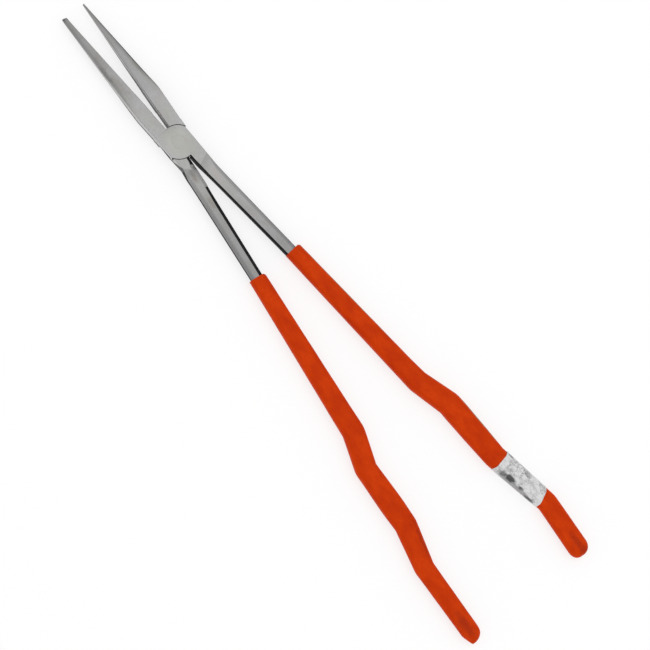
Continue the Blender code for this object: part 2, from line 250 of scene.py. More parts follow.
# Steel, in sets of the colours it drifts between: neutral, greenish and pinkish
FACE_STEEL = ((0.354, 0.354, 0.358, 1.0), (0.35, 0.352, 0.343, 1.0), (0.36, 0.342, 0.345, 1.0))
# Side steel, lighter than the face steel: painted light on the walls
SIDE_STEEL_LIGHTENED = ((0.52, 0.52, 0.518, 1.0), (0.515, 0.518, 0.5, 1.0), (0.52, 0.505, 0.5, 1.0))
HUB_TINT = (0.345, 0.35, 0.318, 1.0)
# How far up a side the painted shade reaches: rows of distance from the rivet and share of the thickness
FRONT_SIDE_SHADE_ROWS = ((-0.0215, 1.15), (-0.011, 0.3), (0.13, 0.3))
REAR_SIDE_SHADE_ROWS = ((-0.0215, 1.15), (-0.011, 0.3), (0.003, 0.3), (0.0141, 1.15))
GRIP_SIDE_SHADE_ROWS = ((0.06, 0.62), (0.115, -0.05))
# Painted shade: the tone a side darkens to along its lower part
SIDE_SHADE_TONE = 0.018
# Painted shade steel: near-black tones, lighter wear, metallic and specular
SHADE_STEEL_TONES = (0.009, 0.022)
SHADE_STEEL_WORN = (0.045, 0.041, 0.038, 1.0)
SHADE_STEEL_METALLIC = 0.3
SHADE_STEEL_SPECULAR = 0.08

# Vinyl and film
VINYL_ORANGE = (0.575, 0.0395, 0.0009, 1.0)
VINYL_LIGHT = (0.65, 0.052, 0.0016, 1.0)
VINYL_DEEP = (0.48, 0.029, 0.0007, 1.0)
# Darker vinyl, for scuffs and darker spots
VINYL_DARKER = (0.33, 0.024, 0.005, 1.0)
# Painted highlight: the greyish colour of a glint along the front sleeve's edge
VINYL_PAINTED_HIGHLIGHT = (0.33, 0.2, 0.115, 1.0)
VINYL_SPECULAR = 0.04
DARKER_SPOT_STRENGTH = 0.6
PAINTED_HIGHLIGHT_STRENGTH = 0.95
FILM_WHITE = 0.7
FILM_GREY = 0.52
FILM_CLOUDED = 0.4
FILM_VEINED = 0.09
FILM_CREASE_SHADE = 0.3

# Marks: centre, size, colour and strength. Each place is across, along and up, as on its own piece
SPOT_REACH = 0.7
SPOT_EDGE = 0.45
SPOT_WOBBLE = 1.6
PATCH_EDGE = 0.2
SMUDGE = (0.06, 0.06, 0.055, 1.0)
WARM_STAIN = (0.215, 0.19, 0.165, 1.0)
PINK_STAIN = (0.35, 0.3, 0.295, 1.0)
SLOPE_SHADE = (0.2, 0.2, 0.2, 1.0)
# A mark's size upwards, enough for a piece's whole thickness
UP = 0.02
HUB_MARKS = (
    ((0.0, 0.0, 0.012), (0.014, 0.017, UP), HUB_TINT, 0.9),
    ((-0.007, 0.027, 0.012), (0.005, 0.012, UP), HUB_TINT, 0.3),
    ((0.0055, -0.0016, 0.012), (0.0026, 0.005, UP), PINK_STAIN, 0.35)
)
FRONT_MARKS = (
    ((-0.0088, 0.079, 0.012), (0.0032, 0.013, UP), SMUDGE, 0.32),
    ((-0.003, TIP_Y, 0.007), (0.005, 0.0034, UP), SMUDGE, 0.6),
    ((-0.006, 0.064, 0.012), (0.004, 0.015, UP), WARM_STAIN, 0.35),
    ((-0.0045, 0.09, 0.012), (0.004, 0.012, UP), WARM_STAIN, 0.3),
    ((0.0065, -0.04, 0.01), (0.003, 0.014, UP), PINK_STAIN, 0.35)
)
REAR_MARKS = (
    ((0.0054, -0.0305, 0.01), (0.003, 0.0065, UP), WARM_STAIN, 0.7),
    ((0.0045, -0.0262, 0.012), (0.007, 0.003, UP), SLOPE_SHADE, 0.45),
    ((-0.0085, 0.07, 0.012), (0.003, 0.014, UP), WARM_STAIN, 0.35),
    ((0.0058, -0.056, 0.01), (0.003, 0.009, UP), WARM_STAIN, 0.45)
)
# Painted shading: rows of distance from the rivet and how light, darker towards the tips and down the handle
SIDE_SHADING_ROWS = ((0.025, 1.0), (0.08, 0.9), (TIP_Y, 0.74))
FRONT_SHADING_ROWS = ((-0.12, 0.72), (-0.045, 0.95), (-0.02, 1.0), (0.025, 1.0), (0.08, 0.92), (TIP_Y, 0.74))
REAR_SHADING_ROWS = ((-0.12, 0.72), (-0.06, 0.8), (-0.02, 1.0), (0.025, 1.0), (0.08, 0.9), (TIP_Y, 0.74))
# Spots where the vinyl is darker, near the closed ends and along an edge: centre and size
FRONT_DARKER_SPOTS = (
    ((0.0008, 0.3314, 0.0053), (0.0034, 0.011, 0.006)),
    ((0.002, 0.3404, 0.004), (0.006, 0.005, 0.006))
)
REAR_DARKER_SPOTS = (
    ((0.001, 0.327, 0.0053), (0.005, 0.016, 0.006)),
    ((-0.006, 0.25, 0.004), (0.002, 0.02, 0.005))
)
LABEL_WORN = ((0.005, 0.259, 0.006), (0.006, 0.011, 0.012))
LABEL_PATCHES = (
    ((-0.0084, 0.26, 0.002), (0.003, 0.026, 0.006), 0.26, 0.8),
    ((-0.0068, 0.2475, 0.004), (0.0034, 0.0042, 0.004), 0.14, 0.9),
    ((-0.0062, 0.254, 0.004), (0.0034, 0.008, 0.005), 0.05, 1.0),
    ((-0.0064, 0.2655, 0.003), (0.0024, 0.0048, 0.004), 0.07, 1.0),
    ((-0.0084, 0.276, 0.001), (0.0018, 0.007, 0.005), 0.06, 1.0),
    ((0.008, 0.245, 0.003), (0.0018, 0.0046, 0.004), 0.16, 0.8)
)
# Painted highlight strips along the front sleeve's outer edge: centre and size
FRONT_PAINTED_HIGHLIGHTS = (
    ((0.0098, 0.206, 0.004), (0.0016, 0.03, 0.004)),
    ((0.0086, 0.055, 0.004), (0.0011, 0.08, 0.004))
)

# Floor and light
FLOOR_GLOW = 0.7
FLOOR_TONE = 0.3
FLOOR_REACH = 4.0
FLOOR_DROP = 0.0001
FLOOR_ROUGHNESS = 0.85
ROOM_LIGHT = 0.86
KEY_PLACE = (0.5, -0.1, 2.1)
KEY_SIZE = (1.4, 1.4)
KEY_POWER = 5.4

# Camera
CAMERA_TILT = math.radians(12.5)
CAMERA_TURN = math.radians(38.05)
CAMERA_AIM = Vector((0.002, -0.1888, 0.012))
CAMERA_LENS = 135.0
CAMERA_SENSOR = 36.0
FRAME_WIDTH = 0.5235


# Rows, sections and lofts

def read_off(rows, position, column=1):
    """The size at a position, in straight lines between the rows."""
    previous = rows[0]
    for row in rows:
        if position <= row[0]:
            span = row[0] - previous[0]
            share = (position - previous[0]) / span if span else 0.0
            return previous[column] + share * (row[column] - previous[column])
        previous = row
    return rows[-1][column]


def eased(rows, position, reach=CORNER_EASE, column=1):
    """As read_off, with the corners between the rows rounded over."""
    total = sum(weight * read_off(rows, position + offset * reach, column)
                for offset, weight in EASE_WEIGHTS)
    return total / sum(weight for _, weight in EASE_WEIGHTS)


def spread(start, end, count):
    return [start + (end - start) * index / (count - 1) for index in range(count)]


def smooth_share(value):
    share = min(1.0, max(0.0, value))
    return share * share * (3 - 2 * share)


def bezier(start, control, end, share):
    rest = 1 - share
    return tuple(rest * rest * a + 2 * rest * share * b + share * share * c
                 for a, b, c in zip(start, control, end))


def corner_shape(cut_across, cut_down, round_over):
    """Points from the face to the side, as (distance in from the side, distance in from the face)."""
    if round_over:
        return [(cut_across * (1 - math.sin(turn)), cut_down * (1 - math.cos(turn)))
                for turn in spread(0.0, math.pi / 2, CORNER_POINTS)]
    length = math.hypot(cut_across, cut_down)
    fillet = min(EDGE_FILLET, FILLET_LIMIT * length)
    on_face = (cut_across, 0.0)
    on_side = (0.0, cut_down)
    step_across = fillet * cut_across / length
    step_down = fillet * cut_down / length
    shares = spread(0.0, 1.0, CORNER_POINTS // 2)
    after_face = (cut_across - step_across, step_down)
    before_side = (step_across, cut_down - step_down)
    points = [bezier((cut_across + fillet, 0.0), on_face, after_face, share) for share in shares]
    points += [bezier(before_side, on_side, (0.0, cut_down + fillet), share) for share in shares]
    return points


def section(left, right, thickness, left_corner, right_corner):
    """Outline across a piece, from the lower right corner round to the lower left one."""
    outline = []
    for side, face in ((1, -1), (1, 1), (-1, 1), (-1, -1)):
        edge = right if side > 0 else left
        points = corner_shape(*(right_corner if side > 0 else left_corner))
        if side == face:
            points.reverse()
        outline += [(edge - side * inward, face * (thickness / 2 - down)) for inward, down in points]
    return outline


def square_section(left, right, thickness):
    return section(left, right, thickness, BROKEN_EDGE, BROKEN_EDGE)


def stand_up(outline, x, y, heading=0.0, shear=0.0):
    """Places an outline across a heading; shear slides it along, more the further out it lies."""
    return [(x + across * math.cos(heading),
             y + across * math.sin(heading) + shear * (x + across - CREASE_MIDDLE_X),
             MID_PLANE + height) for across, height in outline]


def add_object(name, data):
    made = bpy.data.objects.new(name, data)
    bpy.context.scene.collection.objects.link(made)
    return made


def add_places(piece, places):
    """Stores where each vertex lies on its own piece, so that the grain and the marks follow it."""
    attribute = piece.data.attributes.new("place", "FLOAT_VECTOR", "POINT")
    attribute.data.foreach_set("vector", [value for place in places for value in place])


def loft(name, rings, closed=False, paint=None, places=None):
    """Skins rings of equal counts; paint gives a face's material from its ring and its place in the ring."""
    mesh_data = bmesh.new()
    rows = [[mesh_data.verts.new(point) for point in ring] for ring in rings]
    following_rows = rows[1:] + rows[:1] if closed else rows[1:]
    for ring_index, (row, following) in enumerate(zip(rows, following_rows)):
        for index, vertex in enumerate(row):
            after = (index + 1) % len(row)
            face = mesh_data.faces.new((vertex, row[after], following[after], following[index]))
            if paint:
                face.material_index = paint(ring_index, index)
    if not closed:
        mesh_data.faces.new(rows[0])
        mesh_data.faces.new(rows[-1])
    bmesh.ops.recalc_face_normals(mesh_data, faces=mesh_data.faces)
    mesh = bpy.data.meshes.new(name)
    mesh_data.to_mesh(mesh)
    mesh_data.free()
    lofted = add_object(name, mesh)
    if places:
        add_places(lofted, [place for ring in places for place in ring])
    return lofted


def finish_piece(piece, mirrored, body, stands_for, materials):
    """Opens a piece from closed to the rest position and hands it to its body."""
    turn = Matrix.Rotation(-REST_HALF_OPENING if mirrored else REST_HALF_OPENING, 4, "Z")
    mirror = Matrix.Diagonal((-1.0, 1.0, 1.0, 1.0)) if mirrored else Matrix.Identity(4)
    piece.data.transform(turn @ mirror)
    if mirrored:
        piece.data.flip_normals()
    piece.data.shade_smooth()
    piece.data.set_sharp_from_angle(angle=SHARP_ANGLE)
    for material in materials:
        piece.data.materials.append(material)
    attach(piece, body)
    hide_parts(stands_for)
    return piece


# Routes along the handles

def heading_between(start, end):
    return math.atan2(end[0] - start[0], start[1] - end[1])


def step_along(point, heading, distance):
    return (point[0] + distance * math.sin(heading), point[1] - distance * math.cos(heading))


def bent_route(corners):
    """Rows of (distance, point, heading) along a route whose inner corners are bent, not sharp."""
    samples = []
    cursor = corners[0]
    heading = heading_between(corners[0], corners[1])
    for corner, following in zip(corners[1:], corners[2:]):
        turn = heading_between(corner, following) - heading
        bend_start = step_along(corner, heading, -BEND_RADIUS * math.tan(abs(turn) / 2))
        samples.append((cursor, heading))
        chord = 2 * BEND_RADIUS * math.sin(abs(turn) / BEND_STEPS / 2)
        cursor = bend_start
        for index in range(BEND_STEPS):
            samples.append((cursor, heading + turn * index / BEND_STEPS))
            cursor = step_along(cursor, heading + turn * (index + 0.5) / BEND_STEPS, chord)
        heading += turn
    samples.append((cursor, heading))
    samples.append((corners[-1], heading))
    distance = 0.0
    rows = []
    for index, (point, direction) in enumerate(samples):
        distance += math.dist(samples[max(index - 1, 0)][0], point)
        rows.append((distance, point, direction))
    return rows


def sample_at(route, distance):
    before, after = route[0], route[1]
    for before, after in zip(route, route[1:]):
        if distance <= after[0]:
            break
    share = (distance - before[0]) / (after[0] - before[0])
    x = before[1][0] + share * (after[1][0] - before[1][0])
    y = before[1][1] + share * (after[1][1] - before[1][1])
    return distance, (x, y), before[2] + share * (after[2] - before[2])


# Levers

def tooth_depth(y):
    """How far the gripping face is cut back: crosswise teeth from the middle of the jaw to the tip."""
    if not TEETH_START_Y < y < TEETH_END_Y:
        return 0.0
    phase = (y / TOOTH_PITCH) % 1.0
    return TOOTH_DEPTH * abs(2 * phase - 1)


def jaw_section(widths, y):
    """Square on the gripping side; the outer side is ground round towards the tip."""
    width = eased(widths, y)
    thickness = eased(JAW_THICKNESSES, y)
    relief = smooth_share((y - RELIEF_Y) / RELIEF_RAMP)
    inset = RELIEF_INSET + relief * (GRIP_INSET - RELIEF_INSET) + tooth_depth(y)
    ground_share = 1 - eased(NOSE_FLAT_SHARES, y, NOSE_EASE)
    cut_across = max(BACK_EDGE, ground_share * width)
    cut_down = max(BACK_EDGE, NOSE_ROUND_DOWN * ground_share * thickness / 2)
    return section(-width, -inset, thickness, (cut_across, cut_down, True), (GRIP_EDGE, GRIP_EDGE, False))


def tip_ring(widths, back, shrink):
    """A slanted ring near the tip, shrunk by the tip's bevel."""
    width = eased(widths, TIP_Y)
    slant = TIP_SLANT * (1 - back / TIP_SLANT_LENGTH)
    y = TIP_Y - TIP_SETBACK - back
    outline = jaw_section(widths, y)
    middle = -(width + GRIP_INSET) / 2
    scale_across = 1 - 2 * shrink / width
    scale_up = 1 - 2 * shrink / JAW_THICKNESSES[-1][1]
    outline = [(middle + (across - middle) * scale_across, height * scale_up) for across, height in outline]
    return stand_up(outline, 0, y + width * math.sin(slant), slant)


def jaw_rings(widths):
    rings = [tip_ring(widths, back, TIP_BEVEL * share) for back, share in TIP_BEVEL_ROWS]
    rings += [tip_ring(widths, back, 0.0) for back in spread(2 * TIP_BEVEL, TIP_SLANT_LENGTH, TIP_STATIONS)]
    half_pitch = TOOTH_PITCH / 2
    first = math.floor((TIP_Y - TIP_SLANT_LENGTH) / half_pitch)
    last = math.ceil((JOINT_RADIUS + half_pitch) / half_pitch)
    rings += [stand_up(jaw_section(widths, index * half_pitch), 0, index * half_pitch)
              for index in range(first - 1, last - 1, -1)]
    return rings


def inner_corner(rows, y):
    """The straight cut along a lever's inner upper edge."""
    return (read_off(rows, y), read_off(rows, y, 2), False)


def outer_edge(waist, y):
    return JOINT_HALF_WIDTH + y / WAIST_Y * (waist[1] - JOINT_HALF_WIDTH)


def joint_rings(waist):
    """Arcs about the rivet on the two quarters that the other lever turns past, and straight sides."""
    side_angle = math.asin(JOINT_HALF_WIDTH / JOINT_RADIUS)
    first_angle = side_angle / ARC_STATIONS
    rings = []
    for angle in spread(first_angle, side_angle, ARC_STATIONS):
        outline = square_section(-JOINT_HALF_WIDTH, JOINT_RADIUS * math.sin(angle), JOINT_THICKNESS)
        rings.append(stand_up(outline, 0, JOINT_RADIUS * math.cos(angle)))
    for angle in spread(side_angle, 0.0, ARC_STATIONS + 1):
        y = -JOINT_RADIUS * math.cos(angle)
        inner = -JOINT_RADIUS * math.sin(angle) if angle else waist[0]
        outer = outer_edge(waist, y)
        rings.append(stand_up(square_section(inner, outer, JOINT_THICKNESS), 0, y))
    return rings


def neck_rings(waist, crease, inner_rows):
    """From the lap down to the crease, with rings that lean over step by step until they lie along it."""
    rings = []
    for share in spread(0.0, 1.0, NECK_STATIONS):
        y = -JOINT_RADIUS + share * (crease[0] + JOINT_RADIUS)
        shear = share * crease[1]
        outer = waist[1]
        for _ in range(NECK_PASSES):
            outer = outer_edge(waist, max(WAIST_Y, y + shear * (outer - CREASE_MIDDLE_X)))
        inner_y = y + shear * (waist[0] - CREASE_MIDDLE_X)
        outline = section(waist[0], outer, JOINT_THICKNESS, inner_corner(inner_rows, inner_y), BROKEN_EDGE)
        rings.append(stand_up(outline, 0, y, 0.0, shear))
    return rings


def slope_thickness(start_y, y):
    """A lever's thickness down the slope from the joint to the shank."""
    fall = min(1.0, max(0.0, (start_y - y) / (start_y - SLOPE_END_Y)))
    return JOINT_THICKNESS - fall * (2 - fall) * (JOINT_THICKNESS - SHANK_THICKNESS)


def shank_section(y, inner_y, crease, inner_rows, half, clearance=0.0):
    """The bar's outline, thinning down the slope below the crease: cut inner edge, crowned outer edge."""
    grown = smooth_share((CROWN_START_Y - y) / CROWN_LENGTH)
    outer = (EDGE_BREAK + grown * (SHANK_CROWN_ACROSS - EDGE_BREAK),
             EDGE_BREAK + grown * (SHANK_CROWN_DOWN - EDGE_BREAK), True)
    thickness = slope_thickness(crease[0], y) + 2 * clearance
    return section(-half, half, thickness, inner_corner(inner_rows, inner_y), outer)


def shoulder_rings(waist, route, crease, inner_rows):
    """From the hub's lower edge down the slope to the bar, with the crease across the face askew."""
    start_x, start_y = route[0][1]
    end_half = read_off(SHANK_WIDTHS, start_y) / 2
    middle = (waist[0] + waist[1]) / 2
    half = (waist[1] - waist[0]) / 2
    rings = []
    for y in spread(crease[0], start_y, SHOULDER_STATIONS)[1:-1]:
        share = (crease[0] - y) / (crease[0] - start_y)
        x = middle + share * (start_x - middle)
        width_half = half + share * (end_half - half)
        inner_y = y + crease[1] * (x - width_half - CREASE_MIDDLE_X)
        outline = shank_section(y, inner_y, crease, inner_rows, width_half)
        rings.append(stand_up(outline, x, y, 0.0, crease[1]))
    return rings


def bar_rings(route, start, end, clearance, crease, inner_rows):
    wedge_end = route[0][1][1] - WEDGE_END_Y
    stations = {start, end} | set(spread(max(start, wedge_end - WEDGE_REACH), wedge_end, WEDGE_STATIONS))
    stations |= {row[0] for row in route}
    stations |= set(spread(start, end, max(2, round((end - start) / BAR_STEP))))
    rings = []
    previous = -1.0
    for along in sorted(stations):
        if along < start or along > end or along - previous < SHORTEST_STEP:
            continue
        previous = along
        _, (x, y), heading = sample_at(route, along)
        half = read_off(SHANK_WIDTHS, y) / 2 + clearance
        shear = crease[1] * (1 - smooth_share(along / SHEAR_END))
        inner_y = y + shear * (x - half - CREASE_MIDDLE_X)
        outline = shank_section(y, inner_y, crease, inner_rows, half, clearance)
        rings.append(stand_up(outline, x, y, heading, shear))
    return rings


def add_turned(name, profile):
    """Turns a profile that runs from the axis at the top, down its outer side and back to the axis."""
    mesh = bpy.data.meshes.new(name)
    mesh.from_pydata([(radius, 0, z) for radius, z in profile],
                     [(index, index + 1) for index in range(len(profile) - 1)], [])
    turned = add_object(name, mesh)
    screw = turned.modifiers.new("turn", "SCREW")
    screw.steps = ROUND_SEGMENTS
    screw.render_steps = ROUND_SEGMENTS
    screw.use_merge_vertices = True
    screw.merge_threshold = MERGE_DISTANCE
    return turned


def apply_modifiers(piece):
    evaluated = piece.evaluated_get(bpy.context.evaluated_depsgraph_get())
    final = bpy.data.meshes.new_from_object(evaluated)
    piece.modifiers.clear()
    piece.data = final


def cut_away(piece, cutters):
    for cutter in cutters:
        modifier = piece.modifiers.new("cut", "BOOLEAN")
        modifier.operation = "DIFFERENCE"
        modifier.solver = "EXACT"
        modifier.object = cutter
    apply_modifiers(piece)
    for cutter in cutters:
        bpy.data.objects.remove(cutter)


def disc_cutter(radius, low, high):
    return add_turned("cutter", [(0, high), (radius, high), (radius, low), (0, low)])


def in_spans(spans, y):
    return any(low < y < high for low, high in spans)


def lever_paint(rings, shaded_spans, crown_faces, jaw_back_faces):
    """Which faces are ground bright, lightened along the side as painted light, or painted dark as shade.

    The numbers beside a wall's place count the faces of the edges before and after it.
    """
    def paint(ring_index, index):
        y = rings[ring_index][LEFT_TOP][1]
        outer_y = rings[ring_index][RIGHT_WALL][1]
        if y > JOINT_RADIUS:
            if RIGHT_WALL - 5 <= index <= RIGHT_WALL + 2:
                return GRIP
            # Painted shade along the jaw's back edge
            if jaw_back_faces and LEFT_WALL - jaw_back_faces <= index <= LEFT_WALL + 4:
                return SHADE_PAINT
            return LIGHTENED_SIDE if LEFT_WALL - 2 <= index <= LEFT_WALL + 4 else BRIGHT
        if y > -JOINT_RADIUS:
            # The walls beyond the arcs get painted shade, the rest the lightened side steel
            if LEFT_WALL - 1 <= index <= LEFT_WALL + 4:
                return SHADE_PAINT if y < -ARC_END_Y else LIGHTENED_SIDE
            if RIGHT_WALL - 4 <= index <= RIGHT_WALL + 1:
                return SHADE_PAINT if y > ARC_END_Y else LIGHTENED_SIDE
            return BRIGHT
        # Painted shade on the bar's inner wall, and on its inner edge's cut within the shaded spans
        if LEFT_WALL - 3 < index < LEFT_END - 2:
            return SHADE_PAINT
        if LEFT_TOP + 1 < index < LEFT_WALL and in_spans(shaded_spans, y):
            return SHADE_PAINT
        # Above the crown the lightened side steel; below it, painted shade on the crown's steepest faces
        if outer_y > CROWN_START_Y:
            return LIGHTENED_SIDE if RIGHT_WALL - 4 <= index <= RIGHT_WALL + 1 else BRIGHT
        return SHADE_PAINT if RIGHT_WALL - 4 <= index <= RIGHT_WALL + crown_faces else BRIGHT
    return paint


def thickness_at(y):
    """How thick a lever is at a closed y, for marks that follow its upper or lower edge."""
    if y > JOINT_RADIUS:
        return read_off(JAW_THICKNESSES, y)
    return slope_thickness(CROWN_START_Y, y)


def add_rise(piece):
    """Stores how far up its own side each vertex of a lever lies, from 0 to 1."""
    rises = [0.5 + (vertex.co.z - MID_PLANE) / thickness_at(vertex.co.y) for vertex in piece.data.vertices]
    attribute = piece.data.attributes.new("rise", "FLOAT", "POINT")
    attribute.data.foreach_set("value", rises)


def add_lever(name, widths, waist, route, crease, inner_rows, shaded_spans, dark_faces, lap):
    rings = jaw_rings(widths) + joint_rings(waist) + neck_rings(waist, crease, inner_rows)
    rings += shoulder_rings(waist, route, crease, inner_rows)
    rings += bar_rings(route, 0.0, route[-1][0] - TANG_END_MARGIN, 0.0, crease, inner_rows)
    lever = loft(name, rings, paint=lever_paint(rings, shaded_spans, *dark_faces))
    low, high = lap
    cut_away(lever, [disc_cutter(JOINT_RADIUS + SEAM_GAP, low, high),
                     disc_cutter(RIVET_RADIUS + RIVET_GAP, -CUT_OVERSHOOT, JOINT_THICKNESS + CUT_OVERSHOOT)])
    add_places(lever, [vertex.co for vertex in lever.data.vertices])
    add_rise(lever)
    return lever


def add_rivet():
    """A pin with two slightly domed ends, flush with the joint's faces."""
    upper = [(RIVET_RADIUS * share, JOINT_THICKNESS - RIVET_DOME * share ** 2) for share in RIVET_DOME_SHARES]
    upper += [(RIVET_RADIUS - RIVET_EDGE / 3, JOINT_THICKNESS - RIVET_DOME - RIVET_EDGE / 3),
              (RIVET_RADIUS, JOINT_THICKNESS - RIVET_DOME - RIVET_EDGE)]
    lower = [(radius, JOINT_THICKNESS - z) for radius, z in reversed(upper)]
    rivet = add_turned("pivot_rivet_turned", upper + lower)
    apply_modifiers(rivet)
    add_places(rivet, [vertex.co for vertex in rivet.data.vertices])
    return rivet


# Sleeves and label

def wave(along, turn, seed):
    """The slow unevenness of a dipped coat."""
    across = math.cos(turn) * SLEEVE_WAVE_ROUND + seed
    return noise.noise(Vector((along * SLEEVE_WAVE_RATE, across, math.sin(turn) * SLEEVE_WAVE_ROUND)))


def mouth_cuts_at(mouth_cuts, along):
    """How far the coat's corners are drawn in at the mouth, on the inner and on the outer side."""
    share = max(0.0, 1 - along / MOUTH_CORNER_LENGTH) ** 2
    return tuple(cut * share for cut in mouth_cuts)


def sleeve_outline(along, widths, mouth_shift, outward=0.0, cuts=(0.0, 0.0), flatten=1.0, seed=0.0):
    """The coat's outline at a distance from the mouth; cuts draw its sides in, flatten thins it."""
    half = eased(widths, along, SLEEVE_EASE) / 2 + outward
    thickness = (eased(SLEEVE_THICKNESSES, along, SLEEVE_EASE) + 2 * outward) * flatten
    left = -half + cuts[0]
    right = half - cuts[1]
    corner_across = min(SLEEVE_CORNER, SLEEVE_CORNER_LIMIT * (right - left))
    corner_down = min(SLEEVE_CORNER + SLEEVE_CROWN, SLEEVE_CORNER_LIMIT * thickness)
    corner = (corner_across, corner_down, True)
    shift = mouth_shift * max(0.0, 1 - along / MOUTH_SHIFT_LENGTH)
    outline = []
    for across, height in section(left, right, thickness, corner, corner):
        turn = math.atan2(height, across)
        slack = SLEEVE_WAVE * (wave(along, turn, seed) - 1.0)
        grow = 1 + slack / max(math.hypot(across, height), SLEEVE_LEAST_RADIUS)
        outline.append((across * grow + shift, height * grow))
    return outline


def place_ring(route, along, outline, slide=None):
    """A ring and its points' own places: across, along and up. Slide moves the points along."""
    _, (x, y), heading = sample_at(route, SLEEVE_START + along)
    ring = stand_up(outline, x, y, heading)
    if slide:
        ring = [(*step_along(point[:2], heading, slide(across, along)), point[2])
                for (across, _), point in zip(outline, ring)]
    places = [(across, along, height) for across, height in outline]
    return ring, places


def lip_rows():
    """Rows of distance from the mouth and distance outward, round the lip from inside to outside."""
    return [(SLEEVE_LIP_RADIUS * (1 - math.sin(turn)),
             -SLEEVE_LIP_RADIUS * LIP_DRAWN_IN * (1 - math.cos(turn - math.pi / 2)))
            for turn in spread(0.0, math.pi / 2, LIP_STATIONS)]


def end_outlines(length, widths, mouth_shift, end_cuts, seed):
    """The closed end: (distance from the mouth, outline), closing faster and faster."""
    end_length = end_cuts[-1][0]
    outlines = []
    for share in spread(1.0, 0.0, END_STATIONS)[1:]:
        back = end_length * share ** 2
        flatten = max(END_FLATTEST, math.sqrt(max(0.0, 1 - (1 - back / end_length) ** 4)))
        cuts = (eased(end_cuts, back, END_EASE), eased(end_cuts, back, END_EASE, 2))
        along = length - back
        outlines.append((along, sleeve_outline(along, widths, mouth_shift, 0.0, cuts, flatten, seed)))
    return outlines


def add_sleeve(name, route, widths, mouth_shift, mouth_cuts, end_cuts, crease, inner_rows, seed):
    """A sock: up the inside from its closed end to the mouth, then down the outside and round the end."""
    full_length = route[-1][0] - SLEEVE_START
    length = full_length - SLEEVE_END_SETBACK
    inside_end = route[-1][0] - TANG_END_MARGIN + LAP_GAP
    rings = bar_rings(route, SLEEVE_START, inside_end, TANG_CLEARANCE, crease, inner_rows)
    rings.reverse()
    places = [[(0.0, 0.0, 0.0)] * len(ring) for ring in rings]
    rows = lip_rows()
    rows += [(along, 0.0) for along in spread(SLEEVE_LIP_RADIUS, MOUTH_CORNER_LENGTH, MOUTH_STATIONS)[1:]]
    rows += [(along, 0.0) for along in
             spread(MOUTH_CORNER_LENGTH, length - end_cuts[-1][0], SLEEVE_STATIONS)[1:]]
    outlines = [(along, sleeve_outline(along, widths, mouth_shift, outward, mouth_cuts_at(mouth_cuts, along),
                                       seed=seed)) for along, outward in rows]
    for along, outline in outlines + end_outlines(length, widths, mouth_shift, end_cuts, seed):
        ring, ring_places = place_ring(route, along, outline)
        rings.append(ring)
        places.append(ring_places)
    return loft(name, rings, places=places)


def label_slide(across, along):
    """How far the label's points move along: its edges bulge, its far edge leans and both are ragged."""
    half = eased(FRONT_SLEEVE_WIDTHS, LABEL_START, SLEEVE_EASE) / 2
    lean = LABEL_LEAN * (along - LABEL_START) / (LABEL_END - LABEL_START)
    ragged = LABEL_RAGGED * noise.noise(Vector((across * LABEL_RAGGED_RATE, LABEL_RAGGED_ROW, 0)))
    return LABEL_BULGE * (1 - (across / half) ** 2) - lean * across + ragged


def wrinkled(outline, along):
    """The label's outer skin, crinkled, and more so towards its edges."""
    half = eased(FRONT_SLEEVE_WIDTHS, LABEL_START, SLEEVE_EASE) / 2
    middle = (LABEL_START + LABEL_END) / 2
    near_end = abs(along - middle) / (LABEL_END - middle)
    rate, rate_along = LABEL_RIPPLE_RATES
    lifted = []
    for across, height in outline:
        ripple = noise.noise(Vector((across * rate, along * rate_along, height * rate)))
        strength = LABEL_CALM + (1 - LABEL_CALM) * near_end ** 3
        lift = 1 + LABEL_WRINKLE * (ripple * strength - LABEL_SINK) / half
        lifted.append((across * lift, height * lift))
    return lifted


def label_skin(route, thickness):
    """Rings and places along the label; the outer skin has a thickness, the inner one has none."""
    stations = spread(LABEL_START, LABEL_END, LABEL_STATIONS)
    rows = []
    for along in stations:
        edge = LABEL_EDGE_SHARE if along in (stations[0], stations[-1]) else 1.0
        outline = sleeve_outline(along, FRONT_SLEEVE_WIDTHS, 0.0, LABEL_GAP + thickness * edge)
        rows.append(place_ring(route, along, wrinkled(outline, along) if thickness else outline, label_slide))
    return rows


def add_label(route):
    rings, places = zip(*label_skin(route, LABEL_THICKNESS), *reversed(label_skin(route, 0.0)))
    return loft("label_wrap", rings, closed=True, places=places)


# Materials

def new_material(name):
    material = bpy.data.materials.new(name)
    material.use_nodes = True
    return material, material.node_tree


def node(tree, kind, links=(), **settings):
    """Adds a shader node; links are (input, output socket or plain value) pairs."""
    made = tree.nodes.new("ShaderNode" + kind)
    for key, value in settings.items():
        setattr(made, key, value)
    for socket, source in links:
        if isinstance(source, bpy.types.NodeSocket):
            tree.links.new(source, made.inputs[socket])
        else:
            made.inputs[socket].default_value = source
    return made


def place_vector(tree, scale, offset=(0.0, 0.0, 0.0)):
    """The piece's own place, divided by the given sizes in metres."""
    attribute = node(tree, "Attribute", attribute_name="place")
    links = [(0, attribute.outputs["Vector"]), (1, offset)]
    moved = node(tree, "VectorMath", links, operation="SUBTRACT")
    scaled = node(tree, "VectorMath", [(0, moved.outputs[0]), (1, scale)], operation="DIVIDE")
    return scaled.outputs[0]


def noise_value(tree, scale, detail, roughness, offset=(0.0, 0.0, 0.0)):
    vector = place_vector(tree, scale, offset)
    links = [("Vector", vector), ("Scale", 1.0), ("Detail", detail), ("Roughness", roughness)]
    return node(tree, "TexNoise", links).outputs["Fac"]


def textures(tree, rows):
    return [noise_value(tree, *row) for row in rows]


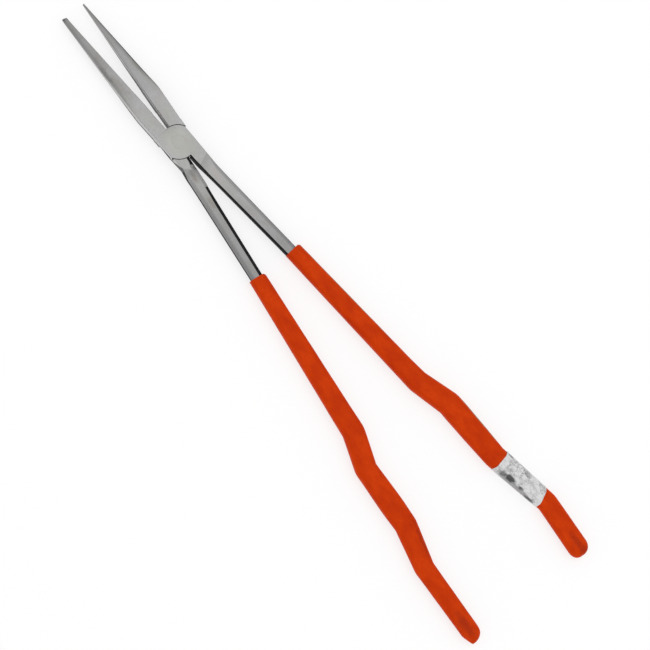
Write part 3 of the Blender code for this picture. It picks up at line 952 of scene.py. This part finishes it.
def mapped(tree, value, low, high, to_low, to_high, smooth=False):
    """Turns a value between low and high into one between to_low and to_high."""
    links = [("Value", value), ("From Min", low), ("From Max", high), ("To Min", to_low), ("To Max", to_high)]
    kind = "SMOOTHSTEP" if smooth else "LINEAR"
    return node(tree, "MapRange", links, interpolation_type=kind).outputs["Result"]


def maths(tree, operation, first, second=0.0):
    return node(tree, "Math", [(0, first), (1, second)], operation=operation).outputs[0]


def mixed(tree, share, first, second, blend="MIX"):
    made = tree.nodes.new("ShaderNodeMix")
    made.data_type = "RGBA"
    made.blend_type = blend
    for socket, source in ((made.inputs["Factor"], share), (made.inputs[6], first), (made.inputs[7], second)):
        if isinstance(source, bpy.types.NodeSocket):
            tree.links.new(source, socket)
        else:
            socket.default_value = source
    return made.outputs[2]


def toned(tree, colour, tone):
    """The colour made lighter or darker by a tone."""
    neutral = node(tree, "CombineColor", [(0, tone), (1, tone), (2, tone)]).outputs[0]
    return mixed(tree, 1.0, colour, neutral, "MULTIPLY")


def grey(value):
    return (value, value, value, 1.0)


def spot_share(tree, centre, size, wobble, edge=SPOT_EDGE):
    """1 at a spot's centre, falling to 0 at its edge, with an uneven outline."""
    vector = place_vector(tree, size, centre)
    length = node(tree, "VectorMath", [(0, vector)], operation="LENGTH").outputs["Value"]
    drift = maths(tree, "MULTIPLY", maths(tree, "SUBTRACT", wobble, 0.5), SPOT_WOBBLE)
    uneven = maths(tree, "ADD", length, drift)
    return mapped(tree, uneven, SPOT_REACH - edge, SPOT_REACH + edge, 1.0, 0.0, True)


def along_rows(tree, rows):
    """A value that follows rows of (distance along the piece, value) in straight lines."""
    along = node(tree, "SeparateXYZ", [(0, place_vector(tree, WHOLE))]).outputs["Y"]
    value = rows[0][1]
    for (near, near_value), (far, far_value) in zip(rows, rows[1:]):
        value = maths(tree, "ADD", mapped(tree, along, near, far, 0.0, far_value - near_value), value)
    return value


def join_shader(material, colour, roughness, bumps, metallic=0.0, specular=0.5):
    """Gives a material its colour, roughness and a chain of bumps, each (height, strength, distance)."""
    tree = material.node_tree
    shader = tree.nodes["Principled BSDF"]
    tree.links.new(colour, shader.inputs["Base Color"])
    tree.links.new(roughness, shader.inputs["Roughness"])
    shader.inputs["Metallic"].default_value = metallic
    shader.inputs["Specular IOR Level"].default_value = specular
    normal = None
    for height, strength, distance in bumps:
        links = [("Height", height), ("Strength", strength), ("Distance", distance)]
        if normal:
            links.append(("Normal", normal))
        normal = node(tree, "Bump", links).outputs["Normal"]
    tree.links.new(normal, shader.inputs["Normal"])
    return material


def with_spot(tree, colour, share, spot_colour, strength):
    return mixed(tree, maths(tree, "MULTIPLY", share, strength), colour, spot_colour)


def steel_material(name, tints, marks, shading_rows, side_shade_rows):
    """Ground steel: streaks along the lever, a slow drift of tint, and smudges.

    Marks are (centre, size, colour, strength). Shading rows are (distance from the rivet, how light), painted
    shading that darkens towards the tips and down the handle. Dark rows paint shade along the lower part of a
    side.
    """
    material, tree = new_material(name)
    neutral, greenish, pinkish = tints
    streaks, fine, drift, second_drift, wobble, stipple = textures(tree, STEEL_TEXTURES)
    colour = mixed(tree, mapped(tree, drift, 0.36, 0.62, 0.0, 1.0, True), neutral, greenish)
    colour = mixed(tree, mapped(tree, second_drift, 0.52, 0.66, 0.0, 0.8, True), colour, pinkish)
    tone = mapped(tree, streaks, 0.28, 0.72, 0.90, 1.07)
    tone = maths(tree, "MULTIPLY", tone, mapped(tree, fine, 0.30, 0.70, 0.95, 1.04))
    tone = maths(tree, "MULTIPLY", tone, mapped(tree, stipple, 0.30, 0.70, 0.91, 1.09))
    # Painted shading along the piece, from the rows
    tone = maths(tree, "MULTIPLY", tone, along_rows(tree, shading_rows))
    colour = toned(tree, colour, tone)
    for centre, size, mark_colour, strength in marks:
        colour = with_spot(tree, colour, spot_share(tree, centre, size, wobble), mark_colour, strength)
    # Painted shade: each side darkens below the share of its thickness given by the rows
    if side_shade_rows:
        rise = node(tree, "Attribute", attribute_name="rise").outputs["Fac"]
        above = maths(tree, "SUBTRACT", rise, along_rows(tree, side_shade_rows))
        uneven = maths(tree, "ADD", above, mapped(tree, wobble, 0.3, 0.7, -0.05, 0.05))
        colour = mixed(tree, mapped(tree, uneven, -0.10, 0.10, 0.97, 0.0, True), colour, grey(SIDE_SHADE_TONE))
    streaked = mapped(tree, streaks, 0.3, 0.7, 0.36, 0.46)
    rough = maths(tree, "ADD", streaked, mapped(tree, drift, 0.3, 0.7, -0.03, 0.05))
    return join_shader(material, colour, rough, [(streaks, 0.30, 0.00002), (fine, 0.20, 0.00001)], 1.0)


def shade_steel_material(name):
    """Painted shade: near-black steel with a little wear, for faces that stand in shade."""
    material, tree = new_material(name)
    grain, worn = textures(tree, SHADE_STEEL_TEXTURES)
    darker, lighter = SHADE_STEEL_TONES
    colour = mixed(tree, mapped(tree, grain, 0.3, 0.7, 0.0, 1.0), grey(darker), grey(lighter))
    colour = mixed(tree, mapped(tree, worn, 0.60, 0.75, 0.0, 0.4, True), colour, SHADE_STEEL_WORN)
    rough = mapped(tree, grain, 0.3, 0.7, 0.55, 0.75)
    bumps = [(grain, 0.35, 0.00004)]
    return join_shader(material, colour, rough, bumps, SHADE_STEEL_METALLIC, SHADE_STEEL_SPECULAR)


def rivet_material(name):
    """Steel with the fine rings of a turned and ground end."""
    material, tree = new_material(name)
    place = node(tree, "Attribute", attribute_name="place").outputs["Vector"]
    flat = node(tree, "VectorMath", [(0, place), (1, (1.0, 1.0, 0.0))], operation="MULTIPLY")
    radius = node(tree, "VectorMath", [(0, flat.outputs[0])], operation="LENGTH").outputs["Value"]
    wander = noise_value(tree, *RIVET_WANDER)
    turned = maths(tree, "MULTIPLY", radius, RIVET_RINGS_PER_METRE)
    rings = node(tree, "TexNoise", [("W", turned), ("Scale", 1.0), ("Detail", 2.0)],
                 noise_dimensions="1D").outputs["Fac"]
    colour = mixed(tree, mapped(tree, wander, 0.40, 0.62, 0.0, 1.0, True), HUB_TINT, FACE_STEEL[1])
    colour = toned(tree, colour, mapped(tree, rings, 0.3, 0.7, 0.97, 1.03))
    rough = mapped(tree, wander, 0.3, 0.7, 0.37, 0.46)
    return join_shader(material, colour, rough, [(rings, 0.25, 0.00001)], 1.0)


def vinyl_material(name, highlight_spots, darker_spots):
    """Dipped vinyl: a slow mottle, scuffs that run along the handle, darker spots and painted highlight
    strips at (centre, size).
    """
    material, tree = new_material(name)
    mottle, blotch, scuff, peel, grain, speckle = textures(tree, VINYL_TEXTURES)
    colour = mixed(tree, mapped(tree, mottle, 0.34, 0.66, 0.0, 1.0, True), VINYL_DEEP, VINYL_LIGHT)
    colour = mixed(tree, mapped(tree, blotch, 0.35, 0.65, 0.25, 0.75, True), colour, VINYL_ORANGE)
    colour = mixed(tree, mapped(tree, scuff, 0.60, 0.74, 0.0, 0.45, True), colour, VINYL_DARKER)
    colour = mixed(tree, mapped(tree, speckle, 0.56, 0.70, 0.0, 0.35, True), colour, VINYL_DEEP)
    # Darker spots, and the painted highlight strips along the sleeve's edge
    for spots, spot_colour, strength in ((darker_spots, VINYL_DARKER, DARKER_SPOT_STRENGTH),
                                         (highlight_spots, VINYL_PAINTED_HIGHLIGHT, PAINTED_HIGHLIGHT_STRENGTH)):
        for centre, size in spots:
            colour = with_spot(tree, colour, spot_share(tree, centre, size, blotch), spot_colour, strength)
    blotched = mapped(tree, blotch, 0.3, 0.7, 0.40, 0.50)
    rough = maths(tree, "ADD", blotched, mapped(tree, scuff, 0.55, 0.75, 0.0, 0.12))
    bumps = [(peel, 0.35, 0.00006), (grain, 0.25, 0.00002)]
    return join_shader(material, colour, rough, bumps, specular=VINYL_SPECULAR)


def label_material(name):
    """A white film, crinkled, with grey veins, painted shade along its creases, a greyer strip and worn dark
    patches along one edge.
    """
    material, tree = new_material(name)
    cloud, fine_cloud, veins, vein_places, wobble = textures(tree, LABEL_TEXTURES)
    uneven = mapped(tree, wobble, 0.0, 1.0, 0.32, 0.68)
    place = place_vector(tree, LABEL_CREASE_SIZE)
    crease = node(tree, "TexVoronoi", [("Vector", place), ("Scale", 1.0)],
                  feature="DISTANCE_TO_EDGE").outputs["Distance"]
    colour = mixed(tree, mapped(tree, cloud, 0.38, 0.50, 0.0, 1.0, True), grey(FILM_GREY), grey(FILM_WHITE))
    colour = mixed(tree, mapped(tree, fine_cloud, 0.54, 0.64, 0.0, 0.50, True), colour, grey(FILM_CLOUDED))
    vein = maths(tree, "ABSOLUTE", maths(tree, "SUBTRACT", veins, 0.5))
    strewn = mapped(tree, vein_places, 0.48, 0.56, 0.0, 0.6)
    worn = maths(tree, "MAXIMUM", spot_share(tree, *LABEL_WORN, uneven), strewn)
    vein_share = maths(tree, "MULTIPLY", mapped(tree, vein, 0.006, 0.034, 0.95, 0.0), worn)
    colour = mixed(tree, vein_share, colour, grey(FILM_VEINED))
    # Painted shade along the film's creases
    colour = mixed(tree, mapped(tree, crease, 0.0, 0.040, 0.50, 0.0), colour, grey(FILM_CREASE_SHADE))
    for centre, size, tone, strength in LABEL_PATCHES:
        share = spot_share(tree, centre, size, uneven, PATCH_EDGE)
        colour = with_spot(tree, colour, share, grey(tone), strength)
    rough = mapped(tree, cloud, 0.3, 0.7, 0.28, 0.42)
    return join_shader(material, colour, rough, [(crease, 0.25, 0.00012), (veins, 0.35, 0.00020)])


# Build

def build_tongs():
    front_route = bent_route(FRONT_ROUTE)
    rear_route = bent_route(REAR_ROUTE)
    # Near-black steel that stands in for shade on inner walls, cuts and edges
    dark = shade_steel_material("painted_shade_steel")
    # Side steels and the gripping steel: lightened as painted light, with painted shade up their lower parts
    front_side = steel_material("front_side_painted_light_shade", SIDE_STEEL_LIGHTENED, (), SIDE_SHADING_ROWS, FRONT_SIDE_SHADE_ROWS)
    rear_side = steel_material("rear_side_painted_light_shade", SIDE_STEEL_LIGHTENED, (), SIDE_SHADING_ROWS, REAR_SIDE_SHADE_ROWS)
    grip = steel_material("gripping_painted_light_shade", SIDE_STEEL_LIGHTENED, (), SIDE_SHADING_ROWS, GRIP_SIDE_SHADE_ROWS)
    front_steel = steel_material("front_ground_steel", FACE_STEEL, HUB_MARKS + FRONT_MARKS, FRONT_SHADING_ROWS, None)
    rear_steel = steel_material("rear_ground_steel", FACE_STEEL, HUB_MARKS[:2] + REAR_MARKS, REAR_SHADING_ROWS, None)
    front_lever = add_lever("front_lever_ground", FRONT_JAW_WIDTHS, FRONT_WAIST, front_route, FRONT_CREASE,
                            FRONT_INNER, FRONT_SHADED_SPANS, FRONT_DARK_FACES,
                            (-CUT_OVERSHOOT, MID_PLANE + LAP_GAP / 2))
    rear_lever = add_lever("rear_lever_ground", REAR_JAW_WIDTHS, REAR_WAIST, rear_route, REAR_CREASE,
                           REAR_INNER, REAR_SHADED_SPANS, REAR_DARK_FACES,
                           (MID_PLANE - LAP_GAP / 2, JOINT_THICKNESS + CUT_OVERSHOOT))
    finish_piece(front_lever, False, "front_half", "front_lever",
                 [front_steel, dark, front_side, grip])
    finish_piece(rear_lever, True, "rear_half", "rear_lever", [rear_steel, dark, rear_side, grip])
    finish_piece(add_rivet(), False, "front_half", "pivot_rivet",
                 [rivet_material("rivet_end")])
    front_sleeve = add_sleeve("front_sleeve_dipped", front_route, FRONT_SLEEVE_WIDTHS, FRONT_MOUTH_SHIFT,
                              FRONT_MOUTH_CUTS, FRONT_END_CUTS, FRONT_CREASE, FRONT_INNER, FRONT_WAVE_SEED)
    rear_sleeve = add_sleeve("rear_sleeve_dipped", rear_route, REAR_SLEEVE_WIDTHS, REAR_MOUTH_SHIFT,
                             REAR_MOUTH_CUTS, REAR_END_CUTS, REAR_CREASE, REAR_INNER, REAR_WAVE_SEED)
    finish_piece(front_sleeve, False, "front_half", "front_grip_sleeve",
                 [vinyl_material("front_vinyl", FRONT_PAINTED_HIGHLIGHTS, FRONT_DARKER_SPOTS)])
    finish_piece(rear_sleeve, True, "rear_half", "rear_grip_sleeve",
                 [vinyl_material("rear_vinyl", (), REAR_DARKER_SPOTS)])
    finish_piece(add_label(front_route), False, "front_half", "label_band",
                 [label_material("label_film_worn")])


# Floor, light and camera

def add_floor():
    mesh = bpy.data.meshes.new("studio_floor")
    corners = [(x * FLOOR_REACH, y * FLOOR_REACH, 0) for x, y in ((-1, -1), (1, -1), (1, 1), (-1, 1))]
    mesh.from_pydata(corners, [], [(0, 1, 2, 3)])
    floor = add_object("studio_floor", mesh)
    floor.location.z = -FLOOR_DROP
    material, tree = new_material("pale_floor")
    for socket, value in (("Base Color", grey(FLOOR_TONE)), ("Roughness", FLOOR_ROUGHNESS),
                          ("Emission Color", grey(1.0)), ("Emission Strength", FLOOR_GLOW)):
        tree.nodes["Principled BSDF"].inputs[socket].default_value = value
    mesh.materials.append(material)


def add_softbox(name, location, size, power):
    light = bpy.data.lights.new(name, "AREA")
    light.shape = "RECTANGLE"
    light.size, light.size_y = size
    light.energy = power
    softbox = add_object(name, light)
    softbox.location = location
    softbox.rotation_euler = (CAMERA_AIM - Vector(location)).to_track_quat("-Z", "Y").to_euler()


def add_lights():
    world = bpy.data.worlds.new("studio")
    bpy.context.scene.world = world
    world.use_nodes = True
    background = world.node_tree.nodes["Background"]
    background.inputs["Color"].default_value = grey(1.0)
    background.inputs["Strength"].default_value = ROOM_LIGHT
    add_softbox("key_softbox", KEY_PLACE, KEY_SIZE, KEY_POWER)


def add_camera():
    """Looks down at the tongs, tilted about their length and turned so that they run corner to corner."""
    tilted_x = Vector((math.cos(CAMERA_TILT), 0.0, math.sin(CAMERA_TILT)))
    back = Vector((-math.sin(CAMERA_TILT), 0.0, math.cos(CAMERA_TILT)))
    right = tilted_x * math.cos(CAMERA_TURN) - Vector((0, 1, 0)) * math.sin(CAMERA_TURN)
    up = back.cross(right)
    data = bpy.data.cameras.new("camera")
    data.lens = CAMERA_LENS
    data.sensor_width = CAMERA_SENSOR
    camera = add_object("camera", data)
    distance = FRAME_WIDTH * CAMERA_LENS / CAMERA_SENSOR
    rotation = Matrix((right, up, back)).transposed().to_4x4()
    camera.matrix_world = Matrix.Translation(CAMERA_AIM + back * distance) @ rotation
    bpy.context.scene.camera = camera


build_tongs()
add_floor()
add_lights()
add_camera()
bpy.context.scene.view_settings.view_transform = "Standard"
